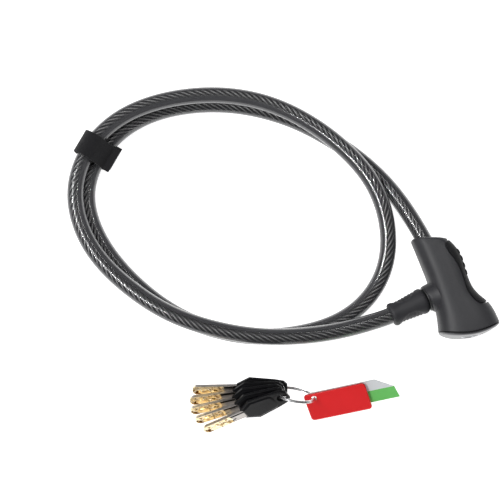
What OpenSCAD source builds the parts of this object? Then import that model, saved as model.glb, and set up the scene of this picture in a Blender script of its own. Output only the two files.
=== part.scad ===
// Key cable lock: a two-turn steel cable in a clear jacket, a lock head at one end and a
// plug at the other, a hook-and-loop strap round the turns, and five keys with two tags
// on a split ring. Millimetres, +Z up, lying on Z = 0. The plug enters the head along +X,
// the cable leaves the head along +Y, and the key goes into the domed end.

/* [Head] */
// Height of the plug and key axes above the rest face
axis_z = 15.5; // [15:0.1:16]
// Wall of the two head covers
cover_wall = 2.2; // [1.8:0.1:2.4]
// Thickness of the soft grip let into the covers
grip_t = 1.2; // [0.8:0.1:1.4]
// How far the soft grip lies below the covers' surface
grip_sink = 0.4; // [0.2:0.1:0.6]
// Height of a grip rib above the grip
rib_h = 0.6; // [0.3:0.1:1]
// Radius of a grip rib
rib_r = 2.4; // [1.8:0.1:2.6]
// How far the metal end cap domes out beyond the covers
cap_dome = 2.6; // [2.4:0.1:3.6]
// Radius of the round collar that the plug enters
collar_r = 9.4; // [8.6:0.1:9.8]
// How far the collar's face stands left of the plug bore's centre plane
collar_face = 20.2; // [19:0.1:21]

/* [Lock] */
// Radius of the lock barrel
barrel_r = 8.6; // [8.3:0.1:8.8]
// Length of the lock barrel behind its collar
barrel_len = 21.4; // [20.8:0.1:21.8]
// Radius of the barrel's front collar, seen in the end cap
barrel_nose_r = 7; // [6.6:0.1:7.4]
// Radius of the turning core
core_r = 5.6; // [5.4:0.1:5.7]
// Width of the keyway
keyway_w = 8.2; // [8:0.1:9]
// Height of the keyway
keyway_h = 2.7; // [2.5:0.1:3]
// Radius of a lock pin
pin_r = 1; // [0.8:0.05:1.1]
// Number of lock pins
pin_count = 5; // [3:1:5]
// Distance between lock pins
pin_pitch = 3.4; // [3:0.1:3.5]
// Throw of the cam pin from the core's axis
cam_throw = 3; // [2.6:0.1:3.1]
// Radius of the cam pin
cam_pin_r = 1.5; // [1.2:0.1:1.6]
// Thickness of the bolt plate
bolt_t = 4; // [3.6:0.1:4.2]

/* [Plug] */
// Radius of the steel plug pin
plug_r = 4.5; // [4.2:0.1:4.7]
// Radius at the root of the pin's groove
groove_r = 2.8; // [2.4:0.1:3]
// Width of the groove
groove_w = 3.8; // [3.4:0.1:4]
// Place of the groove's middle along X
groove_x = 3.5; // [3.3:0.1:3.7]
// Place of the plug pin's tip along X
tip_x = 9; // [8.4:0.1:9.4]
// Length of the rubber plug sleeve
sleeve_len = 27.7; // [26:0.1:29]
// Largest radius of the plug sleeve
sleeve_r = 9.4; // [9:0.1:9.6]

/* [Cable] */
// Diameter of the jacketed cable
cable_d = 12; // [11.6:0.1:12.2]
// Diameter of the steel core
core_d = 8; // [7:0.1:8.2]
// Width of the hook-and-loop strap
strap_w = 18; // [14:0.5:22]
// Thickness of one layer of the strap
strap_t = 1.3; // [1:0.1:1.3]
// Distance from the lower turn's middle to the end of the strap's joined tab
strap_reach = 13; // [11:0.5:16]

/* [Keys] */
// Distance from a key's ring hole to its tip
key_len = 63; // [60:0.5:66]
// Width of a key blade
blade_w = 7.2; // [6.8:0.1:7.6]
// Thickness of a key blade
blade_t = 2.2; // [1.8:0.1:2.4]
// Distance from the ring hole to the blade end of the bow
bow_len = 31; // [30:0.5:32]
// Half the width of a key bow
bow_half_w = 10; // [9.6:0.1:10.8]
// Thickness of a key bow at its middle
bow_t = 3.6; // [3:0.1:3.7]
// Thickness of the thin tab round the ring hole
bow_tab_t = 2.1; // [1.8:0.1:2.3]
// Radius of the ring hole in a bow
bow_hole_r = 3.5; // [3.3:0.1:3.6]

/* [Ring and tags] */
// Mean radius of the split ring
ring_r = 14; // [13.5:0.1:14.5]
// Half the ring wire's width across the ring
ring_wire_w = 0.7; // [0.5:0.05:0.8]
// Half the height of the ring's two turns
ring_wire_h = 1; // [0.8:0.05:1.1]
// Length of the plastic tag
tag_w = 45; // [40:0.5:48]
// Height of the plastic tag
tag_h = 22.4; // [20:0.2:24]
// Thickness of the plastic tag
tag_t = 1.5; // [1:0.1:1.8]
// Length of the card tag
card_w = 62.8; // [58:0.2:64]
// Height of the card tag
card_h = 18.5; // [17.5:0.1:20]
// Thickness of the card tag
card_t = 0.5; // [0.3:0.05:0.8]

/* [Hidden] */
$fn = 48;

// Clearances: pieces that are fixed together, pieces that run, and a skin over a skin
fit = 0.05;
run = 0.1;
gap = 0.25;

// Stations down the head: left edge [x, y], right edge [x, y] and the height of the top.
HEAD = [
  [[-10.6, 43.9], [13.4, 32.6], 27.2], [[-11.0, 40.0], [15.2, 28.6], 28.0],
  [[-11.5, 33.0], [16.8, 22.0], 28.5], [[-12.2, 24.0], [16.7, 14.5], 29.0],
  [[-13.0, 14.0], [15.4, 7.0], 29.3],  [[-14.3, 4.5], [14.3, 0.0], 29.6],
  [[-15.8, -4.5], [14.2, -7.0], 29.9], [[-17.4, -11.5], [16.0, -13.5], 30.3],
  [[-19.0, -16.5], [18.7, -19.5], 30.6], [[-20.7, -21.0], [20.1, -27.5], 30.9],
  [[-22.2, -24.8], [20.0, -36.4], 31.0]];
// How far each station's section bows towards the key end at its middle
BOW = [0, 0, 0, 0, 0, 0, 0, 0.4, 1.4, 3.0, 4.7];
// How much each station shrinks, which rounds the cable end
EASE = [1.1, 0.25, 0, 0, 0, 0, 0, 0, 0, 0, 0];
head_pts = 28;      // points round a section
squareness = 2.7;   // exponent of the rounded-rectangle section
sunk = 0.6;         // how far the section would reach below the rest face
end_l = HEAD[10][0];
end_r = HEAD[10][1];
end_mid = (end_l + end_r) / 2;
end_tilt = atan2(end_r.y - end_l.y, end_r.x - end_l.x);
end_dir = [sin(end_tilt), -cos(end_tilt)];
end_bow = BOW[10];

// Rounded-rectangle curve: angle to the unit position across (x) and up (y)
function signed_pow(v, p) = sign(v) * pow(abs(v), p);
function rounded(a) = [signed_pow(cos(a), 2 / squareness), signed_pow(sin(a), 2 / squareness)];

// One section of the head: station s, shrunk all round by inset
function head_section(s, inset) =
  let (l = HEAD[s][0], r = HEAD[s][1], top = HEAD[s][2],
       along = (r - l) / norm(r - l), down = [along.y, -along.x],
       half = norm(r - l) / 2 - inset - EASE[s],
       half_z = (top + sunk) / 2 - inset - EASE[s], mid_z = (top - sunk) / 2)
  [for (k = [0:head_pts - 1])
    let (q = rounded(360 * (k + 0.5) / head_pts),
         p = (l + r) / 2 + along * q.x * half + down * BOW[s] * (1 - q.x * q.x))
    [p.x, p.y, mid_z + q.y * half_z]];

// A closed skin through rings of n points each, n even. The rings run anticlockwise as seen
// from the last one, and the end faces are strips that join each point to its mirror.
module skin(rings, n) {
  m = len(rings);
  polyhedron(
    points = [for (ring = rings) for (p = ring) p],
    faces = concat(
      [for (k = [0:n / 2 - 2]) [k, k + 1, n - 2 - k, n - 1 - k]],
      [for (j = [0:m - 2]) for (k = [0:n - 1])
        let (a = j * n + k, b = j * n + (k + 1) % n) each [[a, b + n, b], [a, a + n, b + n]]],
      [for (k = [0:n / 2 - 2]) let (e = (m - 1) * n)
        [e + n - 1 - k, e + n - 2 - k, e + k + 1, e + k]]));
}

module head_form(inset = 0, first = 0, last = 10) {
  skin([for (s = [first:last]) head_section(s, inset)], head_pts);
}

// Places things on the key axis: +X across, +Y into the head, origin in the covers' end
module on_key_axis() {
  translate([end_mid.x, end_mid.y, axis_z]) rotate([0, 0, end_tilt]) children();
}

// A round bar along the key axis, from depth a to depth b
module key_bar(r, a, b) {
  on_key_axis() translate([0, a, 0]) rotate([-90, 0, 0]) cylinder(r = r, h = b - a);
}

// A round bar along X at the plug's axis, from x = a to x = b
module plug_bar(r, a, b) {
  translate([a, 0, axis_z]) rotate([0, 90, 0]) cylinder(r = r, h = b - a);
}

// ---- Covers, grip, cap and collar ----
cable_x = -2;
cable_z = 14.5;
mouth_r = cable_d / 2 + 0.3;
GRIP_EDGE = [[13.4, 40], [12.6, 24], [11.6, 10], [10.2, -3], [10.4, -11], [12, -17],
  [15, -20.4], [19, -20.8], [30, -20.8], [30, 40]];
SCREWS = [[8.6, 22], [-13.6, -18.4], [15.2, -26.6]];
screw_r = 1.2;
screw_head_r = 2.3;
screw_head_h = 1.6;
boss_r = 2.6;
screw_seat = 3.2;
screw_len = 14;

module grip_region(shrink = 0) {
  translate([shrink, shrink, -1]) linear_extrude(40) polygon(GRIP_EDGE);
}

module head_shell() {
  difference() {
    union() {
      difference() {
        head_form();
        grip_region();
      }
      intersection() {
        head_form(grip_t + 0.2);
        grip_region(-0.5);
      }
    }
    head_form(cover_wall, 1, 10);
    plug_bar(collar_r + fit, -collar_face - 5, -11);
    translate([cable_x, 30, cable_z]) rotate([-90, 0, 0]) cylinder(r = mouth_r, h = 20);
    end_pocket();
  }
}

// The space in the covers' end that the cap's skirt fills
module end_pocket() {
  skin([for (d = [3, -1]) cap_ring(1, cover_wall - 0.9, -d)], head_pts);
}

module screw_bosses(r, low, high) {
  for (p = SCREWS) translate([p.x, p.y, low]) cylinder(r = r, h = high - low);
}

module front_cover() {
  color([0.2, 0.2, 0.21]) {
    intersection() {
      head_shell();
      translate([-60, -60, axis_z]) cube([120, 120, 40]);
    }
    difference() {
      intersection() {
        head_form(1, 1, 10);
        screw_bosses(boss_r, axis_z, 30);
      }
      screw_bosses(screw_r - 0.1, axis_z, screw_seat + screw_len + 0.5);
      end_pocket();
    }
  }
}

module back_cover() {
  color([0.2, 0.2, 0.21]) difference() {
    union() {
      intersection() {
        head_shell();
        translate([-60, -60, 0]) cube([120, 120, axis_z]);
      }
      intersection() {
        head_form(1, 1, 10);
        screw_bosses(boss_r + 0.9, 0, axis_z);
      }
    }
    screw_bosses(screw_r + run, -1, axis_z + 1);
    screw_bosses(screw_head_r + run, -1, screw_seat);
    end_pocket();
  }
}

RIBS = [[14.1, 20.8], [13.9, 15.6], [13.1, 10.4], [12.2, 5.2]];

module grip_insert() {
  color([0.12, 0.12, 0.13]) difference() {
    union() {
      intersection() {
        head_form(grip_sink);
        grip_region(fit);
      }
      intersection() {
        head_form(grip_sink - rib_h);
        for (p = RIBS) translate([p.x, p.y, 8]) cylinder(r = rib_r, h = 15);
      }
    }
    head_form(grip_t);
    plug_bar(collar_r + 1, -30, 0);
  }
}

// One ring of the end cap: scale f of the end section, less inset, moved d beyond the covers
function cap_ring(f, inset, d) =
  let (top = HEAD[10][2], along = (end_r - end_l) / norm(end_r - end_l),
       half = (norm(end_r - end_l) / 2 - inset), half_z = (top + sunk) / 2 - inset,
       mid_z = (top - sunk) / 2)
  [for (k = [0:head_pts - 1])
    let (q = rounded(360 * (k + 0.5) / head_pts) * f, across = q.x * half / (half + inset),
         p = end_mid + along * q.x * half
           + end_dir * (d + end_bow * (1 - across * across)))
    [p.x, p.y, mid_z + q.y * half_z]];

module end_cap() {
  color([0.75, 0.76, 0.78]) intersection() {
    difference() {
      union() {
        skin([cap_ring(1, 0.15, fit), cap_ring(1, 0, 0.5), cap_ring(1, 0.1, cap_dome * 0.4),
          cap_ring(0.98, 0.3, cap_dome * 0.68), cap_ring(0.93, 0.4, cap_dome * 0.88),
          cap_ring(0.82, 0.4, cap_dome)], head_pts);
        skin([cap_ring(1, cover_wall - 0.9 + run, -2.6), cap_ring(1, cover_wall - 0.9 + run, 0.3)],
          head_pts);
      }
      key_bar(barrel_nose_r + fit, -12, 4);
      key_bar(barrel_r + fit, barrel_step - fit, 4);
      key_bar(housing_r + run, housing_front - run, 4);
    }
    translate([-60, -60, 0]) cube([120, 120, 60]);
  }
}

module socket_collar() {
  color([0.13, 0.13, 0.14]) translate([0, 0, axis_z]) rotate([0, -90, 0]) rotate_extrude()
    polygon([[plug_r + 0.35, 12.8], [collar_r, 12.8], [collar_r, collar_face - 0.8],
      [collar_r - 0.8, collar_face], [plug_r + 1.2, collar_face],
      [plug_r + 0.35, collar_face - 0.9]]);
}

module cover_screws() {
  color([0.5, 0.5, 0.52]) for (p = SCREWS) translate([p.x, p.y, 0]) difference() {
    union() {
      translate([0, 0, screw_seat - screw_head_h]) cylinder(r = screw_head_r, h = screw_head_h);
      translate([0, 0, screw_seat]) cylinder(r = screw_r - 0.15, h = screw_len - 0.2);
    }
    translate([0, 0, screw_seat - screw_head_h - 0.1]) cylinder(r = 1.1, h = 1, $fn = 6);
  }
}

// ---- Inner casting, barrel and core ----
barrel_face = -7.2;
barrel_step = -3.4;
housing_r = barrel_r + 1.6;
housing_front = -1.5;
barrel_end = barrel_step + barrel_len;
core_end = barrel_end + 0.3;
cam_t = 2.2;
cam_r = 5.2;
bolt_near = core_end + cam_t + 0.3;
bolt_far = bolt_near + bolt_t;
bolt_travel = 2 * cam_throw * sin(45);
fork_r = groove_r + 0.1;
fork_half_w = 4.2;
bolt_left = -7;
bolt_right = 5.8;
bolt_low = -10.4;
floor_low = -12.3;
ferrule_r = 5.7;
ferrule_near = 18.5;
ferrule_far = 36;
tower_r = 7;
cross_y = 27;
cross_r = 1.5;
cross_x = cable_x + ferrule_r + cross_r - 1;

// The hole of the locking bolt in the casting
module bolt_pocket() {
  on_key_axis() translate([bolt_left - run, bolt_near - 0.2, floor_low])
    cube([bolt_right - bolt_left + 2 * run, bolt_t + 0.4, 23]);
  translate([groove_x - groove_w / 2, -9, axis_z + floor_low])
    cube([groove_w, 9 + fork_half_w + 0.3, -floor_low]);
}

module lock_casting() {
  color([0.55, 0.55, 0.57]) difference() {
    intersection() {
      union() {
        key_bar(housing_r, housing_front, bolt_far + 1.4);
        on_key_axis() translate([bolt_left - 1.8, barrel_end, -16])
          cube([bolt_right - bolt_left + 3.4, bolt_far + 1.4 - barrel_end, 27.5]);
        plug_bar(6.4, -12.7, 11.4);
        translate([-9.2, -6, 5]) cube([19.4, 23, 20]);
        translate([cable_x, 14, cable_z]) rotate([-90, 0, 0])
          cylinder(r = tower_r, h = ferrule_far - 15);
        translate([cable_x, 14, cable_z - tower_r]) cube([9, 17, 2 * tower_r]);
      }
      head_form(cover_wall + gap, 1, 10);
    }
    key_bar(barrel_r + fit, -4, barrel_end + fit);
    key_bar(cam_r + 0.6, barrel_end, bolt_near);
    plug_bar(plug_r + run, -13, tip_x + 0.6);
    bolt_pocket();
    translate([cable_x, ferrule_near - 0.5, cable_z]) rotate([-90, 0, 0])
      cylinder(r = ferrule_r + fit, h = 30);
    translate([cross_x, cross_y, 0]) cylinder(r = cross_r + fit, h = 40);
    barrel_pin_bar(cross_r + fit);
    screw_bosses(boss_r + 1.2, -1, 40);
  }
}

// The pin that keeps the barrel in the casting lies across the top of the barrel
module barrel_pin_bar(r) {
  on_key_axis() translate([barrel_r - 0.4, 11, -5.4]) cylinder(r = r, h = 10.8);
}

module barrel_pin() {
  color([0.7, 0.7, 0.7]) barrel_pin_bar(cross_r);
}

first_pin = 0.6;
chamber_floor = barrel_r - 0.5;
driver_len = 1.2;
shear = core_r + run / 2;

// Repeats its children at each lock pin, standing on the key axis
module at_pins() {
  for (i = [0:pin_count - 1]) on_key_axis() translate([0, first_pin + i * pin_pitch, 0]) children();
}

module cylinder_barrel() {
  color([0.72, 0.66, 0.42]) difference() {
    union() {
      key_bar(barrel_r, barrel_step, barrel_end);
      key_bar(barrel_nose_r, barrel_face, barrel_step + 0.1);
    }
    key_bar(core_r + run / 2, barrel_face - 1, barrel_end + 1);
    at_pins() translate([0, 0, core_r - 1]) cylinder(r = pin_r + fit, h = chamber_floor - core_r + 1);
    barrel_pin_bar(cross_r + fit);
  }
}

module driver_pins() {
  color([0.75, 0.65, 0.4]) at_pins() translate([0, 0, shear]) cylinder(r = pin_r, h = driver_len);
}

// A coil spring from z = 0 up: six-sided wire swept round the helix
module coil_spring(r, wire_r, h, turns, steps) {
  n = turns * steps;
  skin([for (i = [0:n])
    let (a = 360 * i / steps, z = wire_r + (h - 2 * wire_r) * i / n)
    [for (k = [0:5]) let (b = -60 * k - 30, q = r + wire_r * cos(b))
      [q * cos(a), q * sin(a), z + wire_r * sin(b)]]], 6);
}

module pin_springs() {
  spring_h = chamber_floor - shear - driver_len - 0.05;
  color([0.8, 0.8, 0.82]) at_pins() translate([0, 0, shear + driver_len + 0.02])
    coil_spring(pin_r - 0.25, 0.12, spring_h, 2.5, 10);
}

module cylinder_core() {
  color([0.78, 0.7, 0.42]) difference() {
    key_bar(core_r, barrel_face + 0.3, core_end);
    on_key_axis() translate([-keyway_w / 2, -12, -keyway_h / 2]) cube([keyway_w, 32, keyway_h]);
    at_pins() cylinder(r = pin_r + fit, h = core_r + 1);
    key_bar(1.3, core_end - 3, core_end + 1);
  }
}

module key_pins() {
  color([0.8, 0.72, 0.45]) at_pins() {
    translate([0, 0, 1.5]) cylinder(r = pin_r, h = core_r - 1.6);
    translate([0, 0, 0.7]) cylinder(r1 = 0.4, r2 = pin_r, h = 0.8);
  }
}

// The cam turns with the core; its off-centre pin drives the bolt plate
module core_cam() {
  color([0.6, 0.6, 0.62]) difference() {
    union() {
      key_bar(cam_r, core_end, core_end + cam_t);
      on_key_axis() rotate([0, 45, 0]) translate([cam_throw, core_end + cam_t - 0.1, 0])
        rotate([-90, 0, 0]) cylinder(r = cam_pin_r, h = bolt_t + 0.2);
    }
    key_bar(1.3, core_end - 1, core_end + cam_t + 1);
    key_bar(2.2, core_end + 1.1, core_end + cam_t + 0.01);
  }
}

module cam_screw() {
  color([0.5, 0.5, 0.5]) {
    key_bar(1.2, core_end - 2.8, core_end + 1.2);
    key_bar(2.1, core_end + 1.1, core_end + cam_t - 0.1);
  }
}

spring_x = -4.6;
spring_hole_r = 1.9;
spring_top = -6.2;

// The bolt: a plate that the cam pin lifts, and a fork that closes round the plug's groove
module locking_bolt() {
  slot_a = cam_throw * cos(45);
  color([0.68, 0.68, 0.7]) difference() {
    union() {
      on_key_axis() translate([bolt_left, bolt_near, bolt_low])
        cube([bolt_right - bolt_left, bolt_t, 11.4]);
      translate([groove_x - groove_w / 2 + 0.2, -8.4, axis_z + bolt_low])
        cube([groove_w - 0.4, 8.4 + fork_half_w, 5.6]);
    }
    translate([0, 0, -bolt_travel]) plug_bar(fork_r, -20, 20);
    on_key_axis() translate([bolt_right, 0, bolt_low]) rotate([0, 45, 0]) cube([5, 80, 5], center = true);
    on_key_axis() translate([slot_a, bolt_near - 1, -slot_a]) rotate([-90, 0, 0])
      cylinder(r = cam_pin_r + 0.15, h = bolt_t + 2);
    on_key_axis() translate([cam_throw, bolt_near - 1, -slot_a]) rotate([-90, 0, 0])
      cylinder(r = cam_pin_r + 0.15, h = bolt_t + 2);
    on_key_axis() translate([slot_a, bolt_near - 1, -slot_a - cam_pin_r - 0.15])
      cube([cam_throw - slot_a, bolt_t + 2, 2 * cam_pin_r + 0.3]);
    on_key_axis() translate([spring_x, bolt_near + bolt_t / 2, bolt_low - 1])
      cylinder(r = spring_hole_r, h = spring_top - bolt_low + 1);
  }
}

module bolt_spring() {
  color([0.8, 0.8, 0.82]) on_key_axis()
    translate([spring_x, bolt_near + bolt_t / 2, floor_low + 0.02])
      coil_spring(spring_hole_r - 0.5, 0.25, spring_top - floor_low - 0.1, 6, 10);
}

module cable_ferrule() {
  color([0.62, 0.62, 0.64]) translate([cable_x, 0, cable_z]) rotate([-90, 0, 0])
    rotate_extrude() {
      a = ferrule_near;
      b = ferrule_far - 0.4;
      g = cross_r + run;
      polygon([[core_d / 2 + 0.1, a], [ferrule_r, a], [ferrule_r, cross_y - g],
        [ferrule_r - 1.1, cross_y - g], [ferrule_r - 1.1, cross_y + g],
        [ferrule_r, cross_y + g], [ferrule_r, b], [core_d / 2 + 0.1, b]]);
    }
}

module ferrule_pin() {
  color([0.7, 0.7, 0.7]) translate([cross_x, cross_y, cable_z - tower_r + 0.3])
    cylinder(r = cross_r, h = 2 * tower_r - 0.6);
}

// ---- Cable ----
// The cable's route from the head, twice round, to the plug
ROUTE = [
  [-2, 18, 14.5], [-2, 30, 14.5], [-2, 42, 14.5], [-3, 58, 13.5], [-5, 77, 11], [-10, 98, 8.5],
  [-19, 120, 6.5], [-32, 142, 6], [-47, 162, 6], [-66, 180, 6], [-88, 195, 6], [-113, 206, 6],
  [-140, 212, 6.5], [-167, 210, 8], [-193, 198, 9], [-212, 177, 8], [-217, 149, 6.5],
  [-213, 121, 6], [-203, 93, 6], [-188, 66, 6], [-167, 44, 6], [-142, 27, 6], [-115, 17, 6],
  [-88, 12, 6], [-63, 15, 6.5], [-41, 27, 8], [-26, 46, 11], [-18, 70, 15.5], [-17, 96, 18.5],
  [-25, 124, 19.5], [-39, 152, 19.5], [-58, 177, 19], [-82, 196, 18.8], [-110, 209, 18.6],
  [-139, 216, 19], [-168, 216, 19.5], [-196, 205, 19.5], [-218, 182, 18], [-225, 153, 17],
  [-222, 125, 16.5], [-210, 96, 17.5], [-193, 68, 18.8], [-169, 45, 19], [-142, 26, 19],
  [-113, 13, 18.5], [-86, 5, 17.5], [-63, 1.5, 15.8], [-50, 0, 15.5], [-38, 0, 15.5],
  [-26, 0, 15.5]];
spans = len(ROUTE) - 1;
tube_pts = 12;
tube_rings = 76;
sheath_from = 1.55;                 // where the jacket starts, in spans of the route
sheath_to = spans - 1.2;            // and where it ends

// A point of the route, held past its ends by mirroring
function knot(i) = i < 0 ? 2 * ROUTE[0] - ROUTE[1]
  : i > spans ? 2 * ROUTE[spans] - ROUTE[spans - 1] : ROUTE[i];

// The smooth curve that the route's points steer: a uniform cubic B-spline
function path(u) =
  let (i = min(floor(u), spans - 1), t = u - i)
  (pow(1 - t, 3) * knot(i - 1) + (3 * pow(t, 3) - 6 * t * t + 4) * knot(i)
    + (-3 * pow(t, 3) + 3 * t * t + 3 * t + 1) * knot(i + 1) + pow(t, 3) * knot(i + 2)) / 6;
function unit(v) = v / norm(v);
function heading(u) = unit(path(min(u + 0.02, spans)) - path(max(u - 0.02, 0)));

// One ring of a tube of radius r round the route at u
function tube_ring(u, r) =
  let (t = heading(u), side = unit(cross(t, [0, 0, 1])), over = cross(side, t), c = path(u))
  [for (k = [0:tube_pts - 1])
    let (a = -360 * (k + 0.5) / tube_pts) c + r * (cos(a) * side + sin(a) * over)];

SHEATH_U = [for (i = [0:tube_rings - 1])
  sheath_from + (sheath_to - sheath_from) * i / (tube_rings - 1)];

module cable_core() {
  color([0.5, 0.5, 0.52])
    skin([for (u = concat([0.06, 0.8], SHEATH_U, [spans - 0.7, spans - 0.08]))
      tube_ring(u, core_d / 2)], tube_pts);
}

// A hollow tube as one skin: out along the outer rings, back along the inner ones
module cable_sheath() {
  m = tube_rings;
  n = tube_pts;
  inner = core_d / 2 + 0.12;
  loops = concat([for (u = SHEATH_U) tube_ring(u, cable_d / 2)],
    [for (i = [m - 1:-1:0]) tube_ring(SHEATH_U[i], inner)]);
  color([0.25, 0.25, 0.26, 0.7]) polyhedron(
    points = [for (ring = loops) for (p = ring) p],
    faces = [for (j = [0:2 * m - 1]) for (k = [0:n - 1])
      let (jn = (j + 1) % (2 * m), a = j * n + k, b = j * n + (k + 1) % n,
           c = jn * n + (k + 1) % n, d = jn * n + k) each [[a, c, b], [a, d, c]]]);
}

// The strap closes round both turns where they lean on each other
strap_low = [-188.7, 198.4, 8.65];
strap_high = [-192.8, 204.1, 19.3];
strap_yaw = 216;
strap_gap = 1.3;
strap_slack = 0.9;
strap_meet = 7;

// Points of a round bend from angle a to angle b
function bend(middle, r, a, b) = [for (i = [0:18])
  let (turn = a + (b - a) * i / 18) middle + r * [cos(turn), sin(turn)]];

// The strap's outline, grow outside its inner face: round the lower turn, up to where its two
// ends meet and stand out as a tab, and back over the upper turn, where it is slack
module strap_outline(grow) {
  across = [-sin(strap_yaw), cos(strap_yaw)];
  step = strap_high - strap_low;
  lift = [step.x * across.x + step.y * across.y, step.z];
  left = 90 + atan2(lift.y, lift.x) + asin(strap_slack / norm(lift));
  r = cable_d / 2 + strap_gap + grow;
  top_r = r + strap_slack;
  meet = [cable_d / 2 + strap_gap + grow * 0.6, strap_meet + grow];
  ends = grow == 0 ? [meet] : [[r, strap_meet - grow], [strap_reach, strap_meet - grow],
    [strap_reach, strap_meet + grow], meet];
  away = meet - lift;
  right = atan2(away.y, away.x) + acos(top_r / norm(away));
  polygon(concat(bend([0, 0], r, left, 360), ends, bend(lift, top_r, right, left)));
}

module cable_strap() {
  color([0.09, 0.09, 0.1]) translate(strap_low) rotate([90, 0, strap_yaw + 90])
    translate([0, 0, -strap_w / 2]) linear_extrude(strap_w) difference() {
      strap_outline(strap_t);
      strap_outline(0);
    }
}

// ---- Plug ----
sleeve_front = -collar_face - 0.3;
sleeve_back = sleeve_front - sleeve_len;
crimp_r = 6;
crimp_back = -38.5;
crimp_front = -21.2;

module plug_pin() {
  g = groove_w / 2;
  color([0.72, 0.72, 0.74]) translate([0, 0, axis_z]) rotate([0, 90, 0]) rotate_extrude()
    polygon([[0, -25], [core_d / 2 + 0.1, -25], [core_d / 2 + 0.1, crimp_back],
      [crimp_r, crimp_back], [crimp_r, crimp_front], [plug_r, crimp_front],
      [plug_r, groove_x - g], [groove_r, groove_x - g], [groove_r, groove_x + g],
      [plug_r, groove_x + g], [plug_r, tip_x - 1.5], [plug_r - 1.5, tip_x], [0, tip_x]]);
}

module plug_sleeve() {
  b = sleeve_back;
  f = sleeve_front;
  color([0.11, 0.11, 0.12]) translate([0, 0, axis_z]) rotate([0, 90, 0]) rotate_extrude()
    polygon([[cable_d / 2 + 0.15, b], [sleeve_r - 2, b], [sleeve_r - 1.1, b + 1],
      [sleeve_r - 0.8, b + 2.4], [sleeve_r - 1.1, b + 5], [sleeve_r - 1.2, b + 8],
      [sleeve_r - 0.9, b + 12], [sleeve_r - 0.55, b + 16], [sleeve_r - 0.25, b + 20],
      [sleeve_r, b + 23.2], [sleeve_r - 0.1, f - 2.4], [sleeve_r - 0.9, f - 0.8],
      [sleeve_r - 1.8, f], [plug_r + 0.2, f], [plug_r + 0.2, crimp_front + 0.05],
      [crimp_r + fit, crimp_front + 0.05], [crimp_r + fit, crimp_back - 0.1],
      [cable_d / 2 + 0.15, crimp_back - 0.1]]);
}

// ---- Keys, ring and tags ----
ring_mid = [-134.9, -22.2, 16];
ring_yaw = -36;
ring_lean = 113;
KEY_AT = [217, 196, 174.5, 153, 131.5];
KEY_YAW = [156, 161.8, 167, 171.8, 176.9];
KEY_PITCH = [0.8, 6, 10.5, 15.2, 20];
KEY_ROLL = [42.9, 43.6, 47.7, 51, 52.2];

// A point of the ring's middle line, at angle a round it
function ring_point(a) =
  let (x = [cos(ring_yaw), sin(ring_yaw), 0], side = [-sin(ring_yaw), cos(ring_yaw), 0],
       y = cos(ring_lean) * side + [0, 0, sin(ring_lean)])
  ring_mid + ring_r * (cos(a) * x + sin(a) * y);

module on_key(i) {
  translate(ring_point(KEY_AT[i - 1]))
    rotate([0, 0, KEY_YAW[i - 1]]) rotate([0, KEY_PITCH[i - 1], 0])
      rotate([-KEY_ROLL[i - 1], 0, 0]) children();
}

BOW_EDGE = [[-5.2, -3.4], [-2.6, -6], [4, -7.4], [22, -9.6], [31, -4.4],
  [31, 4.4], [22, 9.6], [4, 7.4], [-2.6, 6], [-5.2, 3.4]];
BOW_TOP = [[4, -3.6], [5, -6.6], [8, -7.8], [22, -9.6], [31, -4.4],
  [31, 4.4], [22, 9.6], [8, 7.8], [5, 6.6], [4, 3.6]];

// An outline of the bow at height z, drawn in by e at its ends and sides
function bow_ring(edge, e, z) = [for (p = edge)
  [p.x * bow_len / 31 + (p.x == edge[0].x ? e : p.x > 25 ? -e : 0),
   p.y * (bow_half_w - e) / 9.6, z]];

module key_bow(i) {
  color([0.08, 0.08, 0.09]) on_key(i) difference() {
    union() {
      skin([bow_ring(BOW_EDGE, 0.5, -bow_tab_t / 2), bow_ring(BOW_EDGE, 0, 0.3 - bow_tab_t / 2),
        bow_ring(BOW_EDGE, 0, bow_tab_t / 2 - 0.3), bow_ring(BOW_EDGE, 0.5, bow_tab_t / 2)],
        len(BOW_EDGE));
      skin([bow_ring(BOW_TOP, 2.6, -bow_t / 2), bow_ring(BOW_TOP, 0.6, 0.3 - bow_tab_t / 2),
        bow_ring(BOW_TOP, 0.6, bow_tab_t / 2 - 0.3), bow_ring(BOW_TOP, 2.6, bow_t / 2)],
        len(BOW_TOP));
    }
    cylinder(r = bow_hole_r, h = 10, center = true);
    translate([13, -blade_w / 2 - fit, -blade_t / 2 - fit])
      cube([30, blade_w + 2 * fit, blade_t + 2 * fit]);
  }
}

// The wave track milled in both faces of the blade
track_w = 2.4;
track_d = 0.5;
track_from = 37;
WAVE = [0, 1.1, 1.1, -0.6, 0.6, -1.2, -1.2, 0.9, 0.2];

module wave_track() {
  step = (key_len - 1 - track_from) / (len(WAVE) - 1);
  linear_extrude(track_d + 1) polygon(concat(
    [for (k = [0:len(WAVE) - 1]) [track_from + k * step, WAVE[k] - track_w / 2]],
    [for (k = [len(WAVE) - 1:-1:0]) [track_from + k * step, WAVE[k] + track_w / 2]]));
}

module key_blade(i) {
  h = blade_w / 2;
  color([0.76, 0.74, 0.66]) on_key(i) difference() {
    translate([0, 0, -blade_t / 2]) linear_extrude(blade_t)
      polygon([[13.1, -h], [key_len - 2.6, -h], [key_len - 0.6, 1.4 - h], [key_len, 0],
        [key_len - 0.6, h - 1.4], [key_len - 2.6, h], [13.1, h]]);
    translate([0, 0, blade_t / 2 - track_d]) wave_track();
    mirror([0, 0, 1]) translate([0, 0, blade_t / 2 - track_d]) wave_track();
  }
}

module key_ring() {
  color([0.75, 0.75, 0.77]) translate(ring_mid) rotate([ring_lean, 0, ring_yaw])
    rotate_extrude($fn = 96) translate([ring_r - ring_wire_w, -ring_wire_h])
      square([2 * ring_wire_w, 2 * ring_wire_h]);
}

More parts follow.
